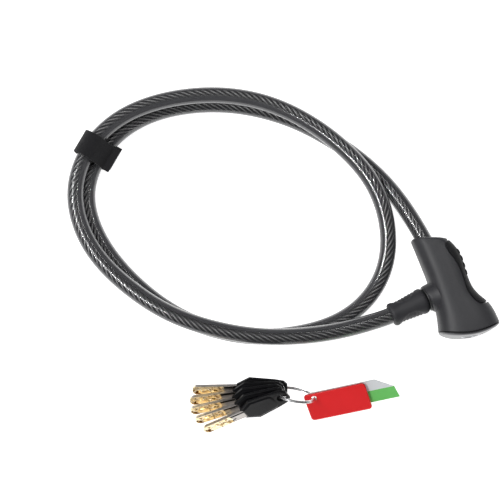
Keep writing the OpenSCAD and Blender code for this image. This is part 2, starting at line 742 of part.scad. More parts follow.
// The tags' plane: its corner by the floor, its long edge and its short edge
tag_corner = [-130.4, -42.9, 1.2];
tag_long = unit([42.1, -10.6, 12]);
tag_short = unit(cross(cross(tag_long, [0.9, 18.3, 13]), tag_long));
tag_up = cross(tag_long, tag_short);
tag_hole = [7, 18.5];
card_hole = [6.4, 18.2];
tag_hole_r = 2;
card_behind = 1.9;

// Stands its children in the tags' plane
module on_tags() {
  multmatrix([[tag_long.x, tag_short.x, tag_up.x, tag_corner.x],
    [tag_long.y, tag_short.y, tag_up.y, tag_corner.y],
    [tag_long.z, tag_short.z, tag_up.z, tag_corner.z], [0, 0, 0, 1]]) children();
}

module rounded_plate(w, h, r) {
  translate([r, 0]) square([w - 2 * r, h]);
  translate([0, r]) square([w, h - 2 * r]);
  for (x = [r, w - r]) for (y = [r, h - r]) translate([x, y]) circle(r);
}

module key_tag() {
  color([0.88, 0.12, 0.14]) on_tags() difference() {
    linear_extrude(tag_t) rounded_plate(tag_w, tag_h, 2.5);
    translate([tag_hole.x, tag_hole.y, -1]) cylinder(r = tag_hole_r, h = 5);
  }
}

module key_card() {
  color([0.86, 0.87, 0.88]) on_tags() translate([0, 0, -card_behind]) difference() {
    translate([3, 3.4]) linear_extrude(card_t)
      polygon([[0, 0], [card_w, 0], [card_w - 1.6, card_h - 9], [card_w - 13.7, card_h],
        [0, card_h]]);
    translate([card_hole.x, card_hole.y, -1]) cylinder(r = tag_hole_r, h = 5);
  }
}

front_cover();
back_cover();
grip_insert();
end_cap();
socket_collar();
lock_casting();
cylinder_barrel();
barrel_pin();
driver_pins();
pin_springs();
cylinder_core();
key_pins();
core_cam();
cam_screw();
locking_bolt();
bolt_spring();
cable_ferrule();
ferrule_pin();
cover_screws();
cable_core();
cable_sheath();
plug_pin();
plug_sleeve();
cable_strap();
key_blade(1);  // key_1_blade
key_bow(1);  // key_1_bow
key_blade(2);  // key_2_blade
key_bow(2);  // key_2_bow
key_blade(3);  // key_3_blade
key_bow(3);  // key_3_bow
key_blade(4);  // key_4_blade
key_bow(4);  // key_4_bow
key_blade(5);  // key_5_blade
key_bow(5);  // key_5_bow
key_ring();
key_tag();
key_card();
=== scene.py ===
"""A key-operated cable lock laid on a pale table: a soft-touch head with a side grip and a satin
end cap, a smoky plastic-covered steel cable twice round, its plug, a hook-and-loop strap, and five
keys with a split ring, a plain red tag and a plain card. All in metres, in the frame's axes."""
import math

import bpy
import numpy as np
from mathutils import Matrix, Vector


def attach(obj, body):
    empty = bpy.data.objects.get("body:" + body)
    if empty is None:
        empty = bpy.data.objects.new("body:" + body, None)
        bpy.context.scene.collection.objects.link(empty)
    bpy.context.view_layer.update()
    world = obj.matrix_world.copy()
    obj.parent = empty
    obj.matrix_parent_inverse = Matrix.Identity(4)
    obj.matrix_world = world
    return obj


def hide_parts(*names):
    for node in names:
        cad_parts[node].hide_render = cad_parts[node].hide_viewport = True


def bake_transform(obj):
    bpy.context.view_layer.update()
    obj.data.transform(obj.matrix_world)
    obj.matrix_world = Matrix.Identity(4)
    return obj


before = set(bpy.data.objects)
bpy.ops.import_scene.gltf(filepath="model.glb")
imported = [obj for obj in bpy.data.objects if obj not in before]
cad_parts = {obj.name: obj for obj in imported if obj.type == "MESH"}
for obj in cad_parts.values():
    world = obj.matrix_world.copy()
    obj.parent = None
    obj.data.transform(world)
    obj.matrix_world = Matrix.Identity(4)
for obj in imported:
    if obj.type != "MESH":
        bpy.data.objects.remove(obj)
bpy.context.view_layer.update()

MM = 0.001

# ---- Table, camera and light ----
# A sheet of pale matt board, lit by one broad softbox overhead and a narrower one from each side.
# The long lens looks almost straight down.
camera_at, camera_aim = (-0.19345, -0.07217, 1.00573), (-0.11851, 0.08855, 0)


def turned_to(thing, at, aim):
    """Puts a thing at a point, looking at another along its own -Z."""
    thing.location = at
    thing.rotation_euler = (Vector(aim) - Vector(at)).to_track_quat("-Z", "Y").to_euler()
    bpy.context.scene.collection.objects.link(thing)


def area_lamp(name, at, aim, size, power):
    """A rectangular lamp. Where it looks steeply down, the first side of its size lies along Y."""
    lamp = bpy.data.lights.new(name, "AREA")
    lamp.shape, lamp.energy = "RECTANGLE", power
    lamp.size, lamp.size_y = size
    made = bpy.data.objects.new(name, lamp)
    turned_to(made, at, aim)
    return made


lens = bpy.data.cameras.new("camera")
lens.lens, lens.sensor_width = 100, 36
lens.clip_start, lens.clip_end = 0.05, 20
camera = bpy.data.objects.new("camera", lens)
turned_to(camera, camera_at, camera_aim)
bpy.context.scene.camera = camera

softboxes = {
    "overhead_softbox": ((-0.25, 0.35, 1.7), (-0.1, 0.1, 0), (1.3, 1.3), 3.4),
    "left_strip": ((-0.74, 0.30, 1.05), (-0.15, 0.12, 0), (0.9, 0.3), 8.5),
    "right_strip": ((0.40, 0.34, 1.1), (-0.1, 0.1, 0), (0.6, 0.2), 2.4),
}
for name, facts in softboxes.items():
    area_lamp(name, *facts)

world = bpy.data.worlds.new("studio")
world.use_nodes = True
backdrop = world.node_tree.nodes["Background"].inputs
backdrop["Color"].default_value = (1, 1, 1, 1)
backdrop["Strength"].default_value = 0.2
bpy.context.scene.world = world
bpy.context.scene.view_settings.view_transform = "Standard"


class Socket:
    """An output socket of a material's nodes. +, -, *, /, ** and abs() on it add the Math node
    that works them out, and a number may come first in +, - and *; node() adds any other node."""

    def __init__(self, tree, out=None):
        self.tree, self.out = tree, out

    def node(self, kind, inputs=None, output=0, **settings):
        """Adds a node with those settings, then a value or a link for each named socket."""
        made = self.tree.nodes.new("ShaderNode" + kind)
        for key, value in settings.items():
            setattr(made, key, value)
        for key, value in (inputs or {}).items():
            if isinstance(value, Socket):
                self.tree.links.new(value.out, made.inputs[key])
            else:
                made.inputs[key].default_value = value
        return Socket(self.tree, made.outputs[output]) if made.outputs else None

    def math(self, operation, *values):
        """A Math node of that operation on the values, in order."""
        return self.node("Math", dict(enumerate(values)), operation=operation)

    def __add__(self, other):
        return self.math("ADD", self, other)

    def __radd__(self, other):
        return self.math("ADD", other, self)

    def __sub__(self, other):
        return self.math("SUBTRACT", self, other)

    def __rsub__(self, other):
        return self.math("SUBTRACT", other, self)

    def __mul__(self, other):
        return self.math("MULTIPLY", self, other)

    def __rmul__(self, other):
        return self.math("MULTIPLY", other, self)

    def __truediv__(self, other):
        return self.math("DIVIDE", self, other)

    def __pow__(self, other):
        return self.math("POWER", self, other)

    def __abs__(self):
        return self.math("ABSOLUTE", self)

    def below(self, limit):
        """1 where this is less than the limit, otherwise 0."""
        return self.math("LESS_THAN", self, limit)

    def part(self, axis):
        """One component of this vector."""
        return self.node("SeparateXYZ", {0: self}, axis)

    def mapped(self, **inputs):
        """This place through a Mapping node with those inputs."""
        return self.node("Mapping", {"Vector": self, **inputs})

    def within(self, own):
        """This place in a piece's own frame."""
        inverse = own.inverted()
        return self.mapped(Location=inverse.translation, Rotation=inverse.to_euler())

    def noise(self, scale, detail=3, roughness=0.55):
        """Soft noise from 0 to 1 at this place, with scale blobs to a metre."""
        return self.node("TexNoise", {"Vector": self, "Scale": scale, "Detail": detail,
                                      "Roughness": roughness})

    def blend(self, first, second):
        """This share of the second colour on the first."""
        colours = [c if isinstance(c, Socket) else (*c, 1) for c in (first, second)]
        return self.node("Mix", {0: self, 6: colours[0], 7: colours[1]}, 2, data_type="RGBA")

    def smooth(self, start, end):
        """A smooth step of this from 0 at start to 1 at end."""
        return self.node("MapRange", {"Value": self, "From Min": start, "From Max": end},
                         interpolation_type="SMOOTHSTEP")

    def bump(self, strength, distance):
        """A bumped normal from this height, at most distance metres deep."""
        return self.node("Bump", {"Height": self, "Strength": strength, "Distance": distance})


def finish(name, look, **fixed):
    """A material: look(place) gives what feeds the shader's sockets from the Object coordinates,
    and fixed gives the sockets that are the same all over, with _ for a space."""
    made = bpy.data.materials.new(name)
    made.use_nodes = True
    made.node_tree.nodes.clear()
    start = Socket(made.node_tree)
    place = start.node("TexCoord", output="Object")
    values = {key.replace("_", " "): value for key, value in fixed.items()}
    shader = start.node("BsdfPrincipled", {**values, **look(place)})
    start.node("OutputMaterial", {"Surface": shader})
    return made


def board(place):
    """Pale matt board: hardly any grain, and a little light of its own as on a light table."""
    grain = place.noise(900)
    return {"Base Color": grain.blend((0.93, 0.93, 0.93), (0.96, 0.96, 0.96))}


def skin(name, grid, material, ring=False, along=None):
    """A closed skin over a grid of points, rows x points: each row closes on itself, quads join
    each row to the next, and one face closes each end, or with ring the last row joins the first.
    If the volume it closes comes out negative, the faces are turned round. The UV map holds the
    share of the way round and the distance along."""
    rows, points = grid.shape[:2]
    order = np.arange(rows * points).reshape(rows, points)
    lower = order if ring else order[:-1]
    upper = np.roll(order, -1, axis=0) if ring else order[1:]
    quads = np.stack([lower, np.roll(lower, -1, 1), np.roll(upper, -1, 1), upper], -1)
    quads = quads.reshape(-1, 4)
    flat = grid.reshape(-1, 3)
    a, b, c, d = (flat[quads[:, k]] for k in range(4))
    volume = (a * (np.cross(b, c) + np.cross(c, d))).sum()
    ends = [] if ring else [order[0][::-1], order[-1]]
    for end in ends:
        hub = flat[end[0]]
        fan = np.cross(flat[end[1:-1]], flat[end[2:]])
        volume += (fan @ hub).sum()
    distance = np.arange(rows + 1) if along is None else np.append(along, along[-1:])
    near, far = distance[:len(lower)], distance[1:len(lower) + 1]
    share = np.arange(points + 1) / points
    turns = np.stack([share[:-1], share[1:], share[1:], share[:-1]], -1)[None]
    metres = np.stack([near, near, far, far], -1)[:, None]
    uv = np.stack(np.broadcast_arrays(turns, metres), -1).reshape(-1, 4, 2)
    if volume < 0:
        quads, uv, ends = quads[:, ::-1], uv[:, ::-1], [end[::-1] for end in ends]
    mesh = bpy.data.meshes.new(name)
    mesh.from_pydata(flat.tolist(), [], quads.tolist() + [end.tolist() for end in ends])
    corners = np.concatenate([uv.reshape(-1, 2), np.zeros((sum(map(len, ends)), 2))])
    mesh.uv_layers.new(name="lay").data.foreach_set("uv", corners.astype(np.float32).ravel())
    return piece_of(name, mesh, material)


def piece_of(name, mesh, material, crease=32):
    """An object of a mesh at the origin, smooth but for edges sharper than crease degrees."""
    mesh.polygons.foreach_set("use_smooth", np.ones(len(mesh.polygons), bool))
    mesh.set_sharp_from_angle(angle=math.radians(crease))
    made = bpy.data.objects.new(name, mesh)
    if material:
        mesh.materials.clear()
        mesh.materials.append(material)
    bpy.context.scene.collection.objects.link(made)
    return made


table_half, table_bottom, table_top = 3.0, -0.02, -0.0002
corners = np.array([[-1, -1], [1, -1], [1, 1], [-1, 1]]) * table_half
sheet = np.stack([np.column_stack([corners, np.full(4, z)]) for z in (table_bottom, table_top)])
table = skin("table", sheet, finish("pale_board", board, Roughness=0.9, Specular_IOR_Level=0.1,
                                    Emission_Color=(1, 1, 1, 1), Emission_Strength=0.9))

# ---- Cable ----
# Eight steel strands twisted left-handed into an 8 mm core, inside a smoky plastic jacket drawn
# over them to 12 mm, nearer to its outer side along the turns. The stretch from the strap to the
# plug is a piece of its own, because it gives when the plug is drawn out.
ROUTE = MM * np.array([
    [-2, 18, 14.5], [-2, 30, 14.5], [-2, 42, 14.5], [-3, 58, 13.5], [-5, 77, 11], [-10, 98, 8.5],
    [-19, 120, 6.5], [-32, 142, 6], [-47, 162, 6], [-66, 180, 6], [-88, 195, 6], [-113, 206, 6],
    [-140, 212, 6.5], [-167, 210, 8], [-193, 198, 9], [-212, 177, 8], [-217, 149, 6.5],
    [-213, 121, 6], [-203, 93, 6], [-188, 66, 6], [-167, 44, 6], [-142, 27, 6], [-115, 17, 6],
    [-88, 12, 6], [-63, 15, 6.5], [-41, 27, 8], [-26, 46, 11], [-18, 70, 15.5], [-17, 96, 18.5],
    [-25, 124, 19.5], [-39, 152, 19.5], [-58, 177, 19], [-82, 196, 18.8], [-110, 209, 18.6],
    [-139, 216, 19], [-168, 216, 19.5], [-196, 205, 19.5], [-218, 182, 18], [-225, 153, 17],
    [-222, 125, 16.5], [-210, 96, 17.5], [-193, 68, 18.8], [-169, 45, 19], [-142, 26, 19],
    [-113, 13, 18.5], [-86, 5, 17.5], [-63, 1.5, 15.8], [-50, 0, 15.5], [-38, 0, 15.5],
    [-26, 0, 15.5]])
spans = len(ROUTE) - 1
jacket_r, core_r = 6 * MM, 4 * MM
strands, lay_length = 8, 41 * MM
under_strap = 35.9                       # where the two stretches meet, in spans of the route
nudge = 0.02                             # spans to either side that give the line's direction


def unit(v):
    """A vector, or each row of several, at length one."""
    return v / np.linalg.norm(v, axis=-1, keepdims=True)


def run_along(line):
    """The distance of each point of a line from its first, along it."""
    return np.append(0, np.cumsum(np.linalg.norm(np.diff(line, axis=0), axis=1)))


def round_angles(points):
    """That many even steps round a circle in radians, as a row."""
    return np.arange(points)[None] * 2 * math.pi / points


def route_at(u):
    """The cable's middle line, u spans along: a uniform cubic B-spline whose weights on four
    points in turn are (1-t)^3, 3t^3-6t^2+4, -3t^3+3t^2+3t+1 and t^3, all over 6."""
    points = np.vstack([2 * ROUTE[0] - ROUTE[1], ROUTE, 2 * ROUTE[-1] - ROUTE[-2]])
    i = np.minimum(u.astype(int), spans - 1)
    t = (u - i)[:, None]
    weights = [(1 - t) ** 3, 3 * t ** 3 - 6 * t ** 2 + 4, -3 * t ** 3 + 3 * t ** 2 + 3 * t + 1,
               t ** 3]
    return sum(weight * points[i + k] for k, weight in enumerate(weights)) / 6


def stretch(start, end, step):
    """The middle line from start to end spans, at even steps along it, with the side and upper
    directions across it and the distance of each point from the route's beginning."""
    fine = np.linspace(0, spans, 6000)
    run = run_along(route_at(fine))
    first, last = np.interp([start, end], fine, run)
    distance = np.linspace(first, last, round((last - first) / step) + 1)
    u = np.interp(distance, run, fine)
    ahead = unit(route_at(np.minimum(u + nudge, spans)) - route_at(np.maximum(u - nudge, 0)))
    side = unit(np.cross(ahead, [0, 0, 1]))
    return route_at(u), side, np.cross(side, ahead), distance


def round_a_line(line, side, over, angle, radius):
    """Points round a line: middle + radius (side cos angle + over sin angle)."""
    across, up = (radius * f(angle) for f in (np.cos, np.sin))
    return line[:, None] + across[..., None] * side[:, None] + up[..., None] * over[:, None]


def jacket_look(place):
    """Smoky plastic: clear enough to show the strands, and solid grey at the edges and along the
    side that the core lies away from, where it is thick. Faint haze runs through it."""
    haze = place.noise(60)
    edge = place.node("LayerWeight", {"Blend": 0.5}, "Facing").smooth(0.1, 0.36)
    lay = place.node("UVMap", uv_map="lay")
    share, distance = lay.part("X"), lay.part("Y")
    lean = 2 * distance.smooth(0.2, 0.34) - 1
    far = (0 - share.math("COSINE", share * 2 * math.pi) * lean).smooth(0.2, 0.46)
    thick = 0.42 + 0.56 * far.math("MAXIMUM", far, edge)
    return {"Base Color": haze.blend((0.050, 0.050, 0.055), (0.070, 0.070, 0.075)),
            "Alpha": thick,
            "Roughness": 0.2 + 0.1 * place.noise(25),
            "Normal": place.noise(300, 2).bump(0.03, 0.0003)}


def strand_look(place):
    """Bright wire: fine wires cross each strand the other way, and painted shade darkens the gaps
    between strands and wires.
    """
    lay = place.node("UVMap", uv_map="lay")
    turn, distance = lay.part("X") * strands, lay.part("Y")
    crown = turn.math("SINE", turn.math("FRACT", turn) * math.pi)
    wires = turn.math("SINE", 2 * math.pi * (turn * 3 + distance / 0.0045))
    stain = place.noise(35)
    # painted shade: near black where the strands meet, a little darker between the fine wires, with
    # stains over it
    gap_shade_and_stain = crown ** 3 * (0.6 + 0.4 * stain) * (0.75 + 0.25 * wires)
    return {"Base Color": gap_shade_and_stain.blend((0.006, 0.006, 0.007), (1.0, 1.0, 1.0)),
            "Roughness": 0.42 + 0.14 * place.noise(300),
            "Normal": wires.bump(0.1, 0.00018)}


jacket_finish = finish("smoky_jacket", jacket_look, Coat_Weight=1.0, Coat_Roughness=0.1,
                       Specular_IOR_Level=0.15)
strand_finish = finish("twisted_strands", strand_look, Metallic=1.0)


def strand_ring(distance):
    """Angle and radius round the core: each strand is a circle of radius a whose middle is at
    radius c, so at an angle d from it the core's edge is at c cos d + sqrt(a^2 - c^2 sin^2 d)."""
    half = math.pi / strands
    c = core_r / (1 + math.sin(half))
    a = c * math.sin(half)
    per_strand, drawn_share = 9, 0.985
    off = half * (2 * (np.arange(per_strand) + 0.5) / per_strand - 1) * drawn_share
    edge = c * np.cos(off) + np.sqrt(np.maximum(a * a - (c * np.sin(off)) ** 2, 0))
    angle = (np.arange(strands)[:, None] * 2 * half + half + off).ravel()
    return angle - 2 * math.pi * distance[:, None] / lay_length, np.tile(edge, strands)[None, :]


jacket_points, jacket_step, strand_step = 28, 4 * MM, 2 * MM
aside_at = [0.12, 0.2, 0.34, 1.2, 1.25]             # distances from the route's beginning, and
aside = MM * np.array([0, -1.6, 1.6, 1.6, 0])       # how far the core lies to the right there
jacket_from, jacket_to = 1.55, spans - 1.2
core_from, core_to = 0.06, spans - 0.08


def cable_stretch(tag, start, end, core_start, core_end):
    """The jacket and the strands from start to end spans, and the jacket's middle line."""
    line, side, over, distance = stretch(start, end, jacket_step)
    grid = round_a_line(line, side, over, round_angles(jacket_points), jacket_r)
    jacket = skin("cable_jacket" + tag, grid, jacket_finish, along=distance)
    middle, side, over, distance = stretch(core_start, core_end, strand_step)
    middle = middle + side * np.interp(distance, aside_at, aside)[:, None]
    grid = round_a_line(middle, side, over, *strand_ring(distance))
    core = skin("cable_strands" + tag, grid, strand_finish, along=distance)
    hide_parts("cable_sheath")
    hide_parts("cable_core")
    return jacket, core, line


def as_cord(jacket, core, line):
    """Works out the first point of this stretch's middle line and its length along it, and keeps
    neither.
    """
    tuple(line[0])
    float(run_along(line)[-1])


coil = cable_stretch("", jacket_from, under_strap, core_from, under_strap)
for piece in coil[:2]:
    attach(piece, "head")
as_cord(*coil)

tail = cable_stretch("_tail", under_strap, jacket_to, under_strap, core_to)
for piece in tail[:2]:
    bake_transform(piece)
as_cord(*tail)

# Two long lamps for the gloss of the jacket alone: their reflections run along it as thin lines.
glossy = bpy.data.collections.new("glossy_jackets")
for jacket, _, _ in (coil, tail):
    glossy.objects.link(jacket)
for name, at, size, power in (("left_gloss", (-0.77, 0.42, 1.05), (0.95, 0.42), 28),
                              ("right_gloss", (0.43, 0.20, 1.10), (0.6, 0.25), 3)):
    lamp = area_lamp(name, at, (-0.15, at[1], 0), size, power)
    lamp.visible_diffuse = False
    lamp.data.cycles.use_multiple_importance_sampling = False
    lamp.light_linking.receiver_collection = glossy

# ---- Head covers ----
# Two half shells of soft-touch moulded plastic, screwed together along a fine seam from behind,
# where each screw sits in a small boss. A shallow bed in the right side takes the grip.
HEAD = np.array([
    [-10.6, 43.9, 13.4, 32.6, 27.2, 0], [-11.0, 40.0, 15.2, 28.6, 28.0, 0],
    [-11.5, 33.0, 16.8, 22.0, 28.5, 0], [-12.2, 24.0, 16.7, 14.5, 29.0, 0],
    [-13.0, 14.0, 15.4, 7.0, 29.3, 0], [-14.3, 4.5, 14.3, 0.0, 29.6, 0],
    [-15.8, -4.5, 14.2, -7.0, 29.9, 0], [-17.4, -11.5, 16.0, -13.5, 30.3, 0.4],
    [-19.0, -16.5, 18.7, -19.5, 30.6, 1.4], [-20.7, -21.0, 20.1, -27.5, 30.9, 3.0],
    [-22.2, -24.8, 20.0, -36.4, 31.0, 4.7]])    # left edge, right edge, top, bow of the section
last = len(HEAD) - 1
squareness, sunk = 2.7, 0.6
seam_z, seam_gap = 15.5, 0.12
end_round, station_gap = 2.2, 4.5        # the gap is from the first station to the second
closing = np.linspace(0.9, 0.02, 10)     # shares of the rings that close a flat end
axis_z = 15.5
end_mid = (HEAD[last, :2] + HEAD[last, 2:4]) / 2
end_across = unit(HEAD[last, 2:4] - HEAD[last, :2])
outward = np.array([end_across[1], -end_across[0]])


def between(rows, s):
    """The rows' values s rows down, on the curve t^3, t^2, t of Catmull and Rom through them."""
    padded = np.vstack([2 * rows[0] - rows[1], rows, 2 * rows[-1] - rows[-2]])
    i = np.clip(s.astype(int), 0, len(rows) - 2)
    t = (s - i)[:, None]
    p, q, r, v = (padded[i + k] for k in range(4))
    return q + 0.5 * t * (r - p + t * (2 * p - 5 * q + 4 * r - v + t * (3 * q - p - 3 * r + v)))


def through(rows, count):
    """That many rows, evenly spaced down the curve through these rows."""
    return between(rows, np.linspace(0, len(rows) - 1, count))


def head_grid(s, inset, share=1.0, beyond=0.0, points=112):
    """Sections of the head in millimetres. At angle a the unit section is at sign(cos a)
    |cos a|^(2/n), sign(sin a) |sin a|^(2/n), times its share; it spans the left and right edges
    and the height less the inset, bows towards the key end by bow (1 - x^2), and lies beyond."""
    s, inset, share, beyond = (v[:, None] for v in np.broadcast_arrays(
        np.atleast_1d(np.asarray(s, float)), inset, share, beyond))
    values = between(HEAD, s[:, 0])
    left, right, top, bow = values[:, :2], values[:, 2:4], values[:, 4:5], values[:, 5:6]
    width = np.linalg.norm(right - left, axis=1, keepdims=True)
    across = (right - left) / width
    down = np.stack([across[:, 1], -across[:, 0]], -1)
    angle = (np.arange(points) + 0.5) * 2 * math.pi / points
    x, y = (np.sign(f(angle)) * abs(f(angle)) ** (2 / squareness) for f in (np.cos, np.sin))
    half = width / 2 - inset
    reach = share * x * half
    drop = beyond + bow * (1 - (reach / (width / 2)) ** 2)
    flat = ((left + right) / 2)[:, None] + reach[..., None] * across[:, None]
    flat = flat + drop[..., None] * down[:, None]
    z = (top - sunk) / 2 + share * y * ((top + sunk) / 2 - inset)
    return np.concatenate([flat, z[..., None]], -1)


def head_solid(name, inset=0.0, first=0.0, rounded=0.0):
    """The head's whole form as a closed skin, shrunk by inset from station first to the key end.
    The cable end is rounded off: at a depth t its section shrinks by r - sqrt(r^2 - (r - t)^2)."""
    depth = rounded * (1 - np.cos(np.linspace(0, math.pi / 2, 8)))
    ease = rounded - np.sqrt(np.maximum(rounded ** 2 - (rounded - depth) ** 2, 0))
    length = np.linspace(first + 0.6, last, 56)
    s = np.concatenate([first + depth / station_gap, length, last + 0 * closing])
    shrink = np.concatenate([ease, 0 * length, 0 * closing]) + inset
    share = np.concatenate([1 + 0 * ease, 1 + 0 * length, closing])
    return skin(name, MM * head_grid(s, shrink, share), None)


def bar(name, start, end, radius, points=96):
    """A round bar between two points in millimetres, as a closed skin."""
    line = np.array([start, end], float)
    ahead = unit(line[1] - line[0])
    side = unit(np.cross(ahead, [0, 0, 1] if abs(ahead[2]) < 0.9 else [1, 0, 0]))
    over = np.cross(side, ahead)
    grid = round_a_line(line, side[None], over[None], round_angles(points), radius)
    return skin(name, MM * grid, None)


def stack(name, layers):
    """A closed skin through outlines of x, y points, each at its own height, in millimetres."""
    return skin(name, MM * np.stack([np.column_stack([outline, np.full(len(outline), z)])
                                     for outline, z in layers]), None)


def prism(name, outline, low, high):
    """An upright prism over an outline."""
    return stack(name, [(outline, low), (outline, high)])


def block(name, x, y, z):
    """A box between two places along each axis."""
    return prism(name, [[x[0], y[0]], [x[1], y[0]], [x[1], y[1]], [x[0], y[1]]], *z)


def carve(name, form, steps, material, bevel=0.0, crease=32):
    """Unions, differences and intersections of closed skins, in order, kept as one plain mesh,
    with its sharp edges broken by a small bevel if one is given. The tools are thrown away."""
    for operation, tool in steps:
        cut = form.modifiers.new(operation, "BOOLEAN")
        cut.operation, cut.solver, cut.object = operation, "MANIFOLD", tool
    if bevel:
        edge = form.modifiers.new("bevel", "BEVEL")
        edge.width, edge.segments, edge.limit_method = bevel * MM, 2, "ANGLE"
        edge.angle_limit, edge.use_clamp_overlap = math.radians(35), True
    shown = form.evaluated_get(bpy.context.evaluated_depsgraph_get())
    mesh = bpy.data.meshes.new_from_object(shown)
    for done in {form, *(tool for _, tool in steps)}:
        bpy.data.objects.remove(done)
    mesh.name = name
    return piece_of(name, mesh, material, crease)


def key_bar(name, radius, near, far):
    """A round bar along the key axis between two depths in from the covers' end."""
    ends = [[*(end_mid - depth * outward), axis_z] for depth in (near, far)]
    return bar(name, *ends, radius)


cover_wall, fit = 2.2, 0.05              # fit: the clearance round a part let into another
cap_rabbet = 0.9                         # the rabbet takes the skirt of the cap
grip_t, grip_sink, grip_mid_y, grip_half_y = 1.2, 0.4, 6, 20
screw_r, screw_head_r, screw_seat = 1.3, 2.45, 3.2
post_r, foot_r, foot_low = 3.5, 3.4, 0.75
collar_r, collar_face, mouth_r = 9.4, 20.2, 6.3
cable_x, cable_z = -2, 14.5
GRIP_FRONT = np.array([[18, 33.2], [13, 32.6], [9, 30.9], [7.1, 27.5], [7.5, 22], [8.8, 15.7],
                       [9.3, 8], [8.1, -0.7], [7.2, -6.5], [7.5, -12.3], [8.7, -16.6],
                       [10.4, -19.6], [13, -21.2], [18, -20.8], [30, -20.8], [30, 33.2]])
GRIP_BACK = np.array([[13.4, 40], [12.6, 24], [11.6, 10], [10.2, -3], [10.4, -11], [12, -17],
                      [15, -20.4], [19, -20.8], [30, -20.8], [30, 40]])
SCREWS = [[8.6, 22], [-13.6, -18.4], [15.2, -26.6]]


def grip_region(name, drawn_x=0.0, drawn_y=0.0):
    """The stretch of the right side that the grip covers, reaching farther over the front than
    over the back, with its boundary drawn in."""
    halves = []
    for edge, low, high in ((GRIP_FRONT, seam_z - 0.1, 39), (GRIP_BACK, -1, seam_z)):
        curve = edge[:-2]
        outline = np.vstack([through(curve, 6 * (len(curve) - 1) + 1), edge[-2:]])
        towards_end = np.clip((grip_mid_y - outline[:, 1]) / grip_half_y, -1, 1)
        outline += np.column_stack([np.full(len(outline), drawn_x), drawn_y * towards_end])
        halves.append(prism(name, outline, low, high))
    return carve(name, halves[0], [("UNION", halves[1])], None)


FLARE = np.array([[-18.9, 9.3, 0.0], [-18.8, 9.7, 0.2], [-18.4, 10.1, 0.5], [-17.8, 10.4, 0.75],
                  [-16.8, 10.7, 1.0], [-15.2, 11.1, 1.3], [-13.5, 11.6, 1.6], [-11.4, 12.3, 1.9]])


def collar_flare(name):
    """The covers' lip round the collar, in rings of x, radius and shift: it stands out on the
    side of the key end only."""
    rings = through(FLARE, 29)
    angle = round_angles(96)
    x, radius, shift = (rings[:, k:k + 1] for k in range(3))
    return skin(name, MM * np.stack([x + 0 * angle, radius * np.cos(angle) - shift,
                                     axis_z + radius * np.sin(angle)], -1), None)


def end_block(name, inset, near, far):
    """The section of the key end, drawn in, between two distances beyond the covers."""
    return skin(name, MM * head_grid([last] * 2, inset, 1.0, [near, far]), None)


def soft_touch_look(place):
    """Matt soft-touch paint over plastic: a close grain and faint cloudiness."""
    cloud = place.noise(38, 4)
    grain = place.noise(5200, 2, 0.6)
    return {"Base Color": cloud.blend((0.026, 0.026, 0.030), (0.037, 0.037, 0.042)),
            "Roughness": 0.40 + 0.1 * cloud + 0.06 * grain,
            "Normal": (grain + 0.4 * place.noise(1500)).bump(0.22, 0.00012)}


soft_touch = finish("soft_touch", soft_touch_look, Specular_IOR_Level=0.5)


def cover(name, low, high, extra):
    """One half of the head: the whole form, hollowed, bored and cut between two heights."""
    bed = carve("bed", grip_region("bed"), [("DIFFERENCE", head_solid("core", grip_t + 0.2))], None)
    half = block("half", (-60, 60), (-60, 60), (low, high))
    hollow = head_solid("hollow", cover_wall, 1.0)
    steps = [("UNION", collar_flare("flare")), ("DIFFERENCE", bed), ("DIFFERENCE", hollow), *extra,
             ("DIFFERENCE", bar("socket", [-25.2, 0, axis_z], [-11, 0, axis_z], collar_r + fit)),
             ("DIFFERENCE", bar("mouth", [cable_x, 28, cable_z], [cable_x, 52, cable_z], mouth_r)),
             ("DIFFERENCE", end_block("pocket", cover_wall - cap_rabbet, -3, 3)),
             ("INTERSECT", half)]
    made = carve(name, head_solid("form", rounded=end_round), steps, soft_touch)
    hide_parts(name)
    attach(made, "head")
    return made


def at_screws(name, radius, low, high):
    """A round bar on the axis of each cover screw, between two heights."""
    return [bar(name, [x, y, low], [x, y, high], radius, 48) for x, y in SCREWS]


cover("front_cover", seam_z + seam_gap, 40, [])
posts = [("UNION", carve("post", post, [("INTERSECT", head_solid("wall", 1.0, 1.0))], None))
         for post in at_screws("post", post_r, -1, seam_z - 0.3)]
feet = [("UNION", foot) for foot in at_screws("foot", foot_r, foot_low, 8)]
holes = [("DIFFERENCE", hole) for hole in (*at_screws("hole", screw_r, -1, seam_z),
                                           *at_screws("seat", screw_head_r, -1, screw_seat))]
cover("back_cover", 0, seam_z - seam_gap, posts + feet + holes)

# ---- Side grip ----
# A strip of darker rubber let into the right side of the head, with a fine groove all round it and
# four rounded ribs for the thumb on its edge.
RIBS = [[14.1, 20.8], [13.9, 15.6], [13.1, 10.4], [12.2, 5.2]]
rib_r, rib_h, groove = 2.4, 0.6, (0.8, 1.1)


def rubber_look(dark, light):
    """Matt black rubber of two close tones, with a fine stipple."""
    def look(place):
        stipple = place.noise(2600, 2, 0.7)
        return {"Base Color": place.noise(50).blend(dark, light),
                "Roughness": 0.5 + 0.14 * stipple,
                "Normal": stipple.bump(0.35, 0.00015)}
    return look


rubber = finish("stippled_rubber", rubber_look((0.008, 0.008, 0.009), (0.012, 0.012, 0.014)),
                Specular_IOR_Level=0.22)
ribs = [("UNION", carve("rib", bar("rib", [x, y, 8], [x, y, 23], rib_r, 48),
                        [("INTERSECT", head_solid("raised", grip_sink - rib_h))], None))
        for x, y in RIBS]
panel = carve("panel", head_solid("panel", grip_sink, rounded=end_round),
              [("INTERSECT", grip_region("region", *groove)), *ribs,
               ("DIFFERENCE", head_solid("inside", grip_t))], None)
grip = carve("grip_insert", panel, [], rubber, bevel=0.25)
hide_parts("grip_insert")
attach(grip, "head")
